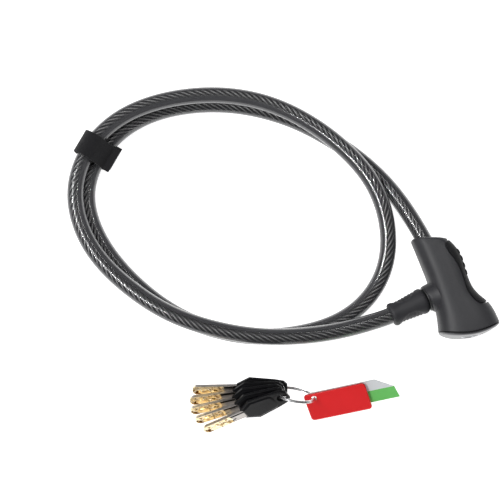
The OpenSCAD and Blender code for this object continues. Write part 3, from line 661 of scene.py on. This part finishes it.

# ---- End cap ----
# A satin-chromed cap closes the key end. Its skirt sits inside the covers, and the barrel's nose
# comes through a hole in its middle. A black rubber ring fills the seam under the cap's edge:
# painted reflection and shade, standing in for the dark band that the cap's chamfer shows there.
CAP = np.array([[0.05, 1, 1.1], [0.98, 1, 1.0], [1.05, 1, 0.35], [1.15, 1, 0.12], [1.3, 1, 0.12],
                [1.5, 0.992, 0.2], [1.77, 0.98, 0.3], [2.1, 0.955, 0.37], [2.4, 0.905, 0.4],
                [2.6, 0.82, 0.4]])                # distance beyond the covers, share, inset
barrel_r, barrel_nose_r, barrel_step = 8.6, 7.0, -3.4


def chrome_look(place):
    """Satin chrome: very fine brushing round the edge and a few soft smudges."""
    smudge = place.noise(90, 4)
    brushed = place.mapped(Scale=(1, 1, 40)).noise(260, 2)
    return {"Base Color": smudge.blend((0.060, 0.060, 0.064), (0.085, 0.085, 0.09)),
            "Roughness": 0.2 + 0.14 * smudge + 0.05 * brushed,
            "Normal": brushed.bump(0.12, 0.00008)}


chrome = finish("satin_chrome", chrome_look, Metallic=1.0)
rows = through(CAP, 40)
inner, crown = (np.tile(rows[k], (len(closing), 1)) for k in (0, -1))
inner[:, 1] *= closing[::-1]
crown[:, 1] *= closing
beyond, share, inset = np.vstack([inner, rows, crown]).T
cap = skin("dome", MM * head_grid(np.full(len(share), last), inset, share, beyond), None)
skirt = end_block("skirt", cover_wall - cap_rabbet + 0.1, -2.6, 0.3)
cap = carve("end_cap", cap, [
    ("UNION", skirt),
    ("DIFFERENCE", key_bar("nose", barrel_nose_r + fit, -12, 4)),
    ("DIFFERENCE", key_bar("barrel", barrel_r + fit, barrel_step - fit, 4)),
    ("DIFFERENCE", key_bar("housing", barrel_r + 1.7, -1.6, 4)),
    ("DIFFERENCE", block("floor", (-60, 60), (-90, 10), (-9, 0))),
], chrome)
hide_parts("end_cap")
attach(cap, "head")

# painted reflection and shade: a black ring in the seam, for the dark band along the cap's edge
seam_shade_ring = np.array([[0.02, 1.6], [0.02, 0.45], [0.1, 0.3], [0.92, 0.35], [1.0, 0.5], [1.0, 1.6]])
seam_shade_ring = skin("cap_seam_shade", MM * head_grid(np.full(6, last), seam_shade_ring[:, 1], 1.0, seam_shade_ring[:, 0]), rubber,
            ring=True)
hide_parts("end_cap")
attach(seam_shade_ring, "head")

# ---- Socket collar and plug sleeve ----
# The collar is a hard black ring pressed into the covers where the plug goes in. The sleeve is a
# rubber moulding over the plug's crimp, narrow at its waist, with shallow finger ridges each side.
plug_r, sleeve_len = 4.5, 27.7
sleeve_front = -collar_face - 0.3
sleeve_back = sleeve_front - sleeve_len


def turned(name, profile, material, points=96, ripple=None):
    """A turned ring about the plug's axis from a closed profile of x, radius points in
    millimetres; ripple(x, angle) may add to the radius."""
    x, radius = np.array(profile, float).T
    angle = round_angles(points)
    r = radius[:, None] + (ripple(x[:, None], angle) if ripple else 0 * angle)
    grid = np.stack([x[:, None] + 0 * r, r * np.cos(angle), axis_z + r * np.sin(angle)], -1)
    return skin(name, MM * grid, material, ring=True)


def collar_look(place):
    """Hard black moulded plastic with a low sheen."""
    return {"Base Color": place.noise(60).blend((0.018, 0.018, 0.019), (0.027, 0.027, 0.028)),
            "Roughness": 0.36 + 0.12 * place.noise(700),
            "Normal": place.noise(2400, 2).bump(0.12, 0.0001)}


face = -collar_face
collar_profile = [[-12.8, plug_r + 0.35], [-12.8, collar_r], [face + 2.2, collar_r],
                  [face + 1.9, collar_r - 0.12], [face + 1.6, collar_r], [face + 0.8, collar_r],
                  [face + 0.45, collar_r - 0.08], [face + 0.18, collar_r - 0.3],
                  [face, collar_r - 0.8], [face, plug_r + 1.2], [face + 0.9, plug_r + 0.35]]
collar = turned("socket_collar_ring", collar_profile, finish("hard_black", collar_look))
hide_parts("socket_collar")
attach(collar, "head")

SLEEVE = np.array([[0, 7.0], [0.12, 7.5], [0.45, 7.95], [1.0, 8.32], [1.8, 8.56], [2.6, 8.6],
                   [3.6, 8.5], [5, 8.3], [8, 8.2], [12, 8.5], [16, 8.85], [20, 9.15], [23.2, 9.4],
                   [25, 9.35], [26, 9.08], [26.8, 8.6], [27.4, 8.05], [27.7, 7.6]])
cable_d, crimp_r, crimp_back, crimp_front = 12, 6, -38.5, -21.2
outer = through(SLEEVE, 150)
inner = np.array([[sleeve_front, plug_r + 0.2], [crimp_front + fit, plug_r + 0.2],
                  [crimp_front + fit, crimp_r + fit], [crimp_back - 0.1, crimp_r + fit],
                  [crimp_back - 0.1, cable_d / 2 + 0.15], [sleeve_back, cable_d / 2 + 0.15]])
sleeve_profile = np.vstack([outer + [sleeve_back, 0], inner])
on_outside = np.append(np.ones(len(outer)), np.zeros(len(inner)))[:, None]
ridge_gap, ridge_h = 2.6, 0.2
hollow_at, hollow_half, hollow_depth = 13.5, 10, 0.4


def finger_ridges(x, angle):
    """A shallow oval hollow in each side, with fine ridges on its floor, on the outside only."""
    along = (x - sleeve_back - hollow_at) / hollow_half
    oval = along ** 2 + (1.15 * np.sin(angle)) ** 2
    hollow = np.clip((1 - oval) / 0.22, 0, 1)
    return (ridge_h * np.sin(x * 2 * math.pi / ridge_gap) - hollow_depth) * hollow * on_outside


sleeve_rubber = finish("plug_rubber", rubber_look((0.022, 0.022, 0.026), (0.030, 0.030, 0.034)))
sleeve = turned("plug_grip", sleeve_profile, sleeve_rubber, ripple=finger_ridges)
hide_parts("plug_sleeve")
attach(sleeve, "plug")

# ---- Strap ----
# A band of hook-and-loop tape round both turns of the cable. Its two ends are pressed together and
# stand out as a flat tab on the inner side; the looped face is matt and a little fuzzy.
strap_low, strap_high = np.array([-188.7, 198.4, 8.65]), np.array([-192.8, 204.1, 19.3])
strap_yaw = math.radians(216)
strap_w, strap_t, strap_reach, strap_gap = 18, 1.3, 13, 1.3
strap_slack, strap_meet, meet_in, tab_bend, strap_skew = 0.9, 7, 0.26, 1.2, 1.2
strap_along = np.array([math.cos(strap_yaw), math.sin(strap_yaw), 0])
strap_across = np.array([-math.sin(strap_yaw), math.cos(strap_yaw), 0])


def strap_look(place):
    """Black looped tape: a felt of short fibres over a faint cross weave, lighter where the felt
    stands high and darker in its hollows.
    """
    felt = place.noise(1700, 5, 0.75)
    weave = place.node("TexWave", {"Vector": place, "Scale": 420, "Distortion": 2.5, "Detail": 2},
                       bands_direction="DIAGONAL")
    height = 0.75 * felt + 0.25 * weave
    return {"Base Color": (felt ** 2).blend((0.007, 0.007, 0.008), (0.034, 0.034, 0.038)),
            "Roughness": 0.8 + 0.15 * felt,
            "Normal": height.bump(0.8, 0.0006)}


def bend(middle, radius, start, end):
    """Points of a round bend about a middle, from one angle to the other in radians."""
    turn = np.linspace(start, end, 40)
    return middle + radius * np.stack([np.cos(turn), np.sin(turn)], -1)


def band_line(points):
    """The tape's middle line, across and up from the lower turn's middle: along the tab, down and
    round the lower turn, up the outer side, slackly over the upper turn and out along the tab."""
    step = strap_high - strap_low
    lift = np.array([step @ strap_across, step[2]])
    left = math.pi / 2 + math.atan2(lift[1], lift[0])
    left += math.asin(strap_slack / np.linalg.norm(lift))
    radius = cable_d / 2 + strap_gap + strap_t / 2
    meet = np.array([radius - meet_in, strap_meet + strap_t / 2])
    away = meet - lift
    right = math.atan2(away[1], away[0]) + math.acos((radius + strap_slack) / np.linalg.norm(away))
    low = strap_meet - strap_t / 2
    line = np.vstack([[[strap_reach, low]],
                      bend([radius + tab_bend, low - tab_bend], tab_bend, math.pi / 2, math.pi),
                      bend([0, 0], radius, 2 * math.pi, left),
                      bend(lift, radius + strap_slack, left, right),
                      [meet, [strap_reach, strap_meet + strap_t / 2]]])
    run = run_along(line)
    even = np.linspace(0, run[-1], points)
    return np.stack([np.interp(even, run, line[:, k]) for k in range(2)], -1)


def tape(name, points=190):
    """The tape as a closed skin: a thin rounded rectangle carried along its line."""
    line = band_line(points)
    ahead = unit(np.gradient(line, axis=0))
    out = np.stack([-ahead[:, 1], ahead[:, 0]], -1)
    half_t, half_w, edge = strap_t / 2 - 0.02, strap_w / 2, 0.3
    section = np.array([[half_w, -half_t + edge], [half_w, half_t - edge], [half_w - edge, half_t],
                        [0, half_t], [edge - half_w, half_t], [-half_w, half_t - edge],
                        [-half_w, edge - half_t], [edge - half_w, -half_t], [0, -half_t],
                        [half_w - edge, -half_t]])
    skew = np.linspace(-strap_skew, strap_skew, points)[:, None]
    flat = line[:, None] + section[None, :, 1, None] * out[:, None]
    grid = (strap_low + flat[..., :1] * strap_across + flat[..., 1:] * np.array([0, 0, 1])
            + (section[None, :, 0] + skew)[..., None] * strap_along)
    return skin(name, MM * grid, looped_tape, along=np.arange(points))


looped_tape = finish("looped_tape", strap_look, Sheen_Weight=0.1, Specular_IOR_Level=0.25)
strap = tape("strap_tape")
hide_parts("cable_strap")
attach(strap, "head")

# ---- Keys ----
# Five cut-down blanks of nickel-plated brass: the dimple track is milled through the plating down
# to the brass. Each is moulded into a faceted black bow with a hole for the ring.
ring_mid, ring_r = np.array([-134.9, -22.2, 16]), 14
ring_yaw, ring_lean = math.radians(-36), math.radians(113)
KEY_AT = [217, 196, 174.5, 153, 131.5]
KEY_YAW = [156, 161.8, 167, 171.8, 176.9]
KEY_PITCH = [0.8, 6, 10.5, 15.2, 20]
KEY_ROLL = [42.9, 43.6, 47.7, 51, 52.2]
ring_x = np.array([math.cos(ring_yaw), math.sin(ring_yaw), 0])
ring_side = np.array([-math.sin(ring_yaw), math.cos(ring_yaw), 0])
ring_y = math.cos(ring_lean) * ring_side + np.array([0, 0, math.sin(ring_lean)])
bow_hole_r, bow_tab_t, bow_t = 3.5, 2.1, 3.6
tab_edge, facet, side_half = 0.25, 2.0, 0.75
slot_from, slot_half, slot_deep = 12.9, 3.65, 1.15   # the space for the blade
milled_from, milled_half, face_at = 41, 3.3, 0.45    # the brass stretch, in the key's own frame
keyway_y, keyway_half = -2.3, 0.8
BOW_EDGE, BOW_TOP = (np.vstack([half, np.array(half)[::-1] * [1, -1]]) for half in (
    [[-5.2, -3.54], [-2.6, -6.25], [4, -7.71], [22, -10], [31, -4.58]],
    [[4.6, -3.53], [5.4, -6.46], [8, -7.64], [22, -9.4], [30.4, -4.31]]))


def ring_point(angle):
    """A point of the ring's middle line in millimetres, at an angle in radians round it."""
    angle = np.asarray(angle)[..., None]
    return ring_mid + ring_r * (np.cos(angle) * ring_x + np.sin(angle) * ring_y)


def key_frame(i):
    """Key i's own frame: the origin at its hole, +X down the blade, +Z square to its face."""
    yaw, pitch, roll = (Matrix.Rotation(math.radians(degrees), 4, axis) for degrees, axis in
                        ((KEY_YAW[i], "Z"), (KEY_PITCH[i], "Y"), (-KEY_ROLL[i], "X")))
    at = Vector(ring_point(math.radians(KEY_AT[i])) * MM)
    return Matrix.Translation(at) @ (yaw @ pitch @ roll)


def drawn_in(edge, heights):
    """Copies of an outline, each drawn in by its own amount, with its height."""
    middle = edge.mean(0)
    reach = abs(edge - middle).max(0)
    return [(middle + (edge - middle) * (1 - drawn / reach), z) for drawn, z in heights]


def bow_look(place):
    """Glossy black moulded plastic with handling haze and fine scratches."""
    scratch = place.mapped(Scale=(1, 9, 3)).noise(340, 3)
    return {"Base Color": place.noise(80).blend((0.004, 0.004, 0.005), (0.009, 0.009, 0.010)),
            "Roughness": 0.2 + 0.2 * scratch,
            "Normal": scratch.bump(0.1, 0.0001)}


bow_finish = finish("bow_plastic", bow_look, Specular_IOR_Level=0.14)


def key_bow(i):
    """A bow: a thin tab round the hole and a thicker faceted grip, with every edge broken."""
    flat, thick = bow_tab_t / 2, bow_t / 2
    tab = [(tab_edge, -flat), (0, tab_edge - flat), (0, flat - tab_edge), (tab_edge, flat)]
    tab = stack("tab", drawn_in(BOW_EDGE, tab))
    body = [(facet, -thick), (0, -side_half), (0, side_half), (facet, thick)]
    body = stack("body", drawn_in(BOW_TOP, body))
    slot = block("slot", (slot_from, 40), (-slot_half, slot_half), (-slot_deep, slot_deep))
    hole = bar("hole", [0, 0, -5], [0, 0, 5], bow_hole_r, 64)
    steps = [("UNION", body), ("DIFFERENCE", hole), ("DIFFERENCE", slot)]
    made = carve(f"key_{i + 1}_grip", tab, steps, bow_finish, bevel=0.22, crease=18)
    made.data.transform(key_frame(i))
    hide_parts(f"key_{i + 1}_bow")
    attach(made, f"key_{i + 1}")


def blade_finish(i):
    """Nickel plating with painted shade darkening the keyway groove, and brass over the milled
    outer stretch, turning dark brown in the low parts of its lumps as painted shadow in the
    dimples, with a pale wave along it."""
    def look(place):
        own = place.within(key_frame(i))
        x, y, z = (own.part(axis) * 1000 for axis in "XYZ")
        wobble = own.noise(300, 2)
        milled = x.math("GREATER_THAN", x + 2 * wobble, milled_from)
        inner = abs(y).below(milled_half)
        face = z.math("GREATER_THAN", abs(z), face_at)
        wave = y - 1.2 * x.math("SINE", x * 1.05 + i) - 1.8 * (wobble - 0.5)
        ridge = abs(wave).below(0.5)
        brass = milled * inner * face
        lumps = own.noise(330, 2, 0.6).smooth(0.36, 0.5)
        # painted shadow: the brass turns dark brown where the lumps are low
        brass_and_dimple_shade = lumps.blend((0.18, 0.085, 0.022), (1.0, 0.82, 0.50))
        cream = (milled * ridge * face).blend(brass_and_dimple_shade, (0.98, 0.90, 0.74))
        # painted shade: the keyway groove on each face is darkened in the colour
        keyway = abs(y - keyway_y).below(keyway_half)
        nickel = own.noise(90).blend((0.34, 0.32, 0.30), (0.52, 0.49, 0.47))
        plate = (keyway * face * (1 - milled)).blend(nickel, (0.035, 0.032, 0.03))
        return {"Base Color": brass.blend(plate, cream), "Roughness": 0.24 + 0.2 * wobble,
                "Normal": (brass * lumps + 0.15 * own.noise(60)).bump(0.6, 0.0005)}

    return finish(f"key_{i + 1}_metal", look, Metallic=1.0)


def dress(node, material):
    """Gives a node of the frame its finish."""
    if not node.material_slots:
        node.data.materials.append(material)
    for slot in node.material_slots:
        slot.material = material


for i in range(len(KEY_AT)):
    key_bow(i)
    dress(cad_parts[f"key_{i + 1}_blade"], blade_finish(i))

# ---- Split ring ----
# Two turns of flat spring-steel wire, pressed tight together, that step over one another where the
# ends lie.
wire_w, wire_h, wire_round = 1.4, 1.0, 0.28
wire_from, wire_turns = -1.1, (0.02, 1.98)   # the angle that the turns are counted from, and the
cross_at, cross_over = 0.90, 0.2             # turns where the wire lies and where it steps up


def ring_steel_look(place):
    """Bright drawn steel with faint lengthwise wear."""
    wear = place.noise(400, 4, 0.7)
    return {"Base Color": wear.blend((0.58, 0.58, 0.59), (0.80, 0.80, 0.81)),
            "Roughness": 0.16 + 0.2 * wear,
            "Normal": wear.bump(0.1, 0.0001)}


bright_steel = finish("bright_steel", ring_steel_look, Metallic=1.0)


def split_ring(name, steps=300):
    """A rounded-rectangle wire carried twice round the ring's middle line. It keeps to the lower
    level, then crosses to the upper one with the smooth step s^2 (3 - 2s) about halfway."""
    turns = np.linspace(*wire_turns, steps)
    angle = 2 * math.pi * turns + wire_from
    rise = np.clip((turns - cross_at) / cross_over, 0, 1)
    level = (rise * rise * (3 - 2 * rise) - 0.5) * wire_h
    out = np.cos(angle)[:, None] * ring_x + np.sin(angle)[:, None] * ring_y
    axis = np.cross(ring_x, ring_y)
    w, h, corner = wire_w / 2, wire_h / 2 - 0.01, wire_round
    section = np.array([[w, corner - h], [w, h - corner], [w - corner, h], [corner - w, h],
                        [-w, h - corner], [-w, corner - h], [corner - w, -h], [w - corner, -h]])
    line = ring_mid + ring_r * out + level[:, None] * axis
    grid = line[:, None] + section[None, :, :1] * out[:, None] + section[None, :, 1:] * axis
    return skin(name, MM * grid, bright_steel)


ring = split_ring("split_ring")
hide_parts("key_ring")
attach(ring, "key_bunch")

# ---- Tags ----
# A plain red plastic tag with rounded corners and a raised rim, and behind it a plain card, white
# above and green below. Both are bare of words and marks.
tag_corner = np.array([-130.4, -42.9, 1.2])
tag_w, tag_h, tag_t, tag_round = 45, 22.4, 1.5, 2.5
tag_hole, card_hole, tag_hole_r = [7, 18.5], [6.4, 18.2], 2
card_w, card_h, card_t, card_behind, green_top = 62.8, 18.5, 0.5, 1.9, 13.2
tag_long = unit([42.1, -10.6, 12])
tag_short = unit(np.cross(np.cross(tag_long, [0.9, 18.3, 13]), tag_long))
tag_up = np.cross(tag_long, tag_short)
tag_axes = np.stack([tag_long, tag_short, tag_up], -1).tolist()
tag_frame = Matrix([*([*row, at * MM] for row, at in zip(tag_axes, tag_corner)), [0, 0, 0, 1]])


def tag_outline(drawn, steps=8):
    """The tag's rectangle with rounded corners, drawn in all round, as points anticlockwise."""
    w, h, r = tag_w, tag_h, tag_round
    middles = np.array([[w - r, h - r], [r, h - r], [r, r], [w - r, r]])
    angles = np.arange(4)[:, None] * math.pi / 2 + np.linspace(0, math.pi / 2, steps)
    arcs = np.stack([np.cos(angles), np.sin(angles)], -1) * (r - drawn)
    return (middles[:, None] + arcs).reshape(-1, 2)


def tag_look(place):
    """Glossy red plastic with a soft orange peel and light scuffs; its sides all round are painted
    a darker red as shade.
    """
    flat = place.within(tag_frame)
    scuff = flat.mapped(Scale=(1, 6, 1)).noise(210, 4, 0.7)
    # painted shade: the tag's sides, between the rounded edges of its faces, are a much darker red
    side = abs(flat.part("Z") * 1000 - tag_t / 2).below(tag_t / 2 - 0.2)
    face = place.noise(45).blend((0.78, 0.006, 0.009), (0.90, 0.010, 0.014))
    return {"Base Color": side.blend(face, (0.33, 0.004, 0.006)),
            "Roughness": 0.3 + 0.18 * scuff,
            "Normal": (place.noise(500, 2) + 0.4 * scuff).bump(0.1, 0.0002)}


def card_look(place):
    """Laminated card: grey-white above and green below, with a faint paper grain."""
    fibre = place.noise(2500, 4)
    low = (place.within(tag_frame).part("Y") * 1000).below(green_top)
    fade = place.noise(70).blend((0.13, 0.58, 0.11), (0.20, 0.68, 0.17))
    paper = fibre.blend((0.74, 0.77, 0.79), (0.82, 0.84, 0.86))
    return {"Base Color": low.blend(paper, fade), "Roughness": 0.35 + 0.15 * fibre,
            "Normal": fibre.bump(0.08, 0.0001)}


rim, rim_h, edge_in, edge_h = 0.9, 0.14, 0.25, 0.22
tag = stack("plate", [(tag_outline(edge_in), 0), (tag_outline(0), edge_h),
                      (tag_outline(0), tag_t - edge_h), (tag_outline(edge_in), tag_t)])
bed = stack("bed", [(tag_outline(rim + edge_in), tag_t - rim_h), (tag_outline(rim), tag_t + 0.2)])
hole = bar("hole", [*tag_hole, -4], [*tag_hole, 4], tag_hole_r, 64)
tag = carve("red_tag", tag, [("DIFFERENCE", bed), ("DIFFERENCE", hole)],
            finish("red_plastic", tag_look, Coat_Weight=0.1), crease=50)
tag.data.transform(tag_frame)
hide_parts("key_tag")
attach(tag, "tag")

card_edge = np.array([[0, 0], [card_w, 0], [card_w - 1.6, card_h - 9], [card_w - 13.7, card_h],
                      [0, card_h]]) + [3, 3.4]
card = prism("sheet", card_edge, -card_behind, card_t - card_behind)
hole = bar("hole", [*card_hole, -4], [*card_hole, 4], tag_hole_r, 64)
card = carve("plain_card", card, [("DIFFERENCE", hole)],
             finish("laminated_card", card_look, Coat_Weight=0.3))
card.data.transform(tag_frame)
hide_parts("key_card")
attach(card, "card")

# ---- Lock works ----
# What the covers close round: a die-cast body, a plated barrel and core with brass pins and steel
# springs, a hardened bolt worked by a cam, the cable's ferrule and its cross pin, and the screws.


def metal_look(dark, light, rough, scale, depth):
    """A metal of two close tones with a noise of that scale in its roughness and surface."""
    def look(place):
        grain = place.noise(scale, 4, 0.65)
        return {"Base Color": grain.blend(dark, light), "Roughness": rough + 0.2 * grain,
                "Normal": grain.bump(0.3, depth)}
    return look


WORKS = {
    "cast_zinc": (["lock_casting"], (0.30, 0.31, 0.32), (0.46, 0.47, 0.48), 0.42, 500, 0.0002),
    "turned_brass": (["driver_pins", "key_pins"],
                     (0.52, 0.36, 0.14), (0.70, 0.50, 0.22), 0.24, 900, 0.00006),
    "ground_steel": (["cylinder_barrel", "cylinder_core", "barrel_pin", "core_cam", "locking_bolt",
                      "cable_ferrule", "ferrule_pin", "plug_pin"],
                     (0.42, 0.43, 0.45), (0.60, 0.61, 0.63), 0.22, 1200, 0.00006),
    "spring_wire": (["pin_springs", "bolt_spring"],
                    (0.50, 0.51, 0.53), (0.66, 0.67, 0.69), 0.2, 1500, 0.00004),
    "blackened_steel": (["cam_screw", "cover_screws"],
                        (0.03, 0.03, 0.032), (0.07, 0.07, 0.075), 0.38, 900, 0.00008),
}
for name, (nodes, *values) in WORKS.items():
    made = finish(name, metal_look(*values), Metallic=1.0)
    for node in nodes:
        dress(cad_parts[node], made)
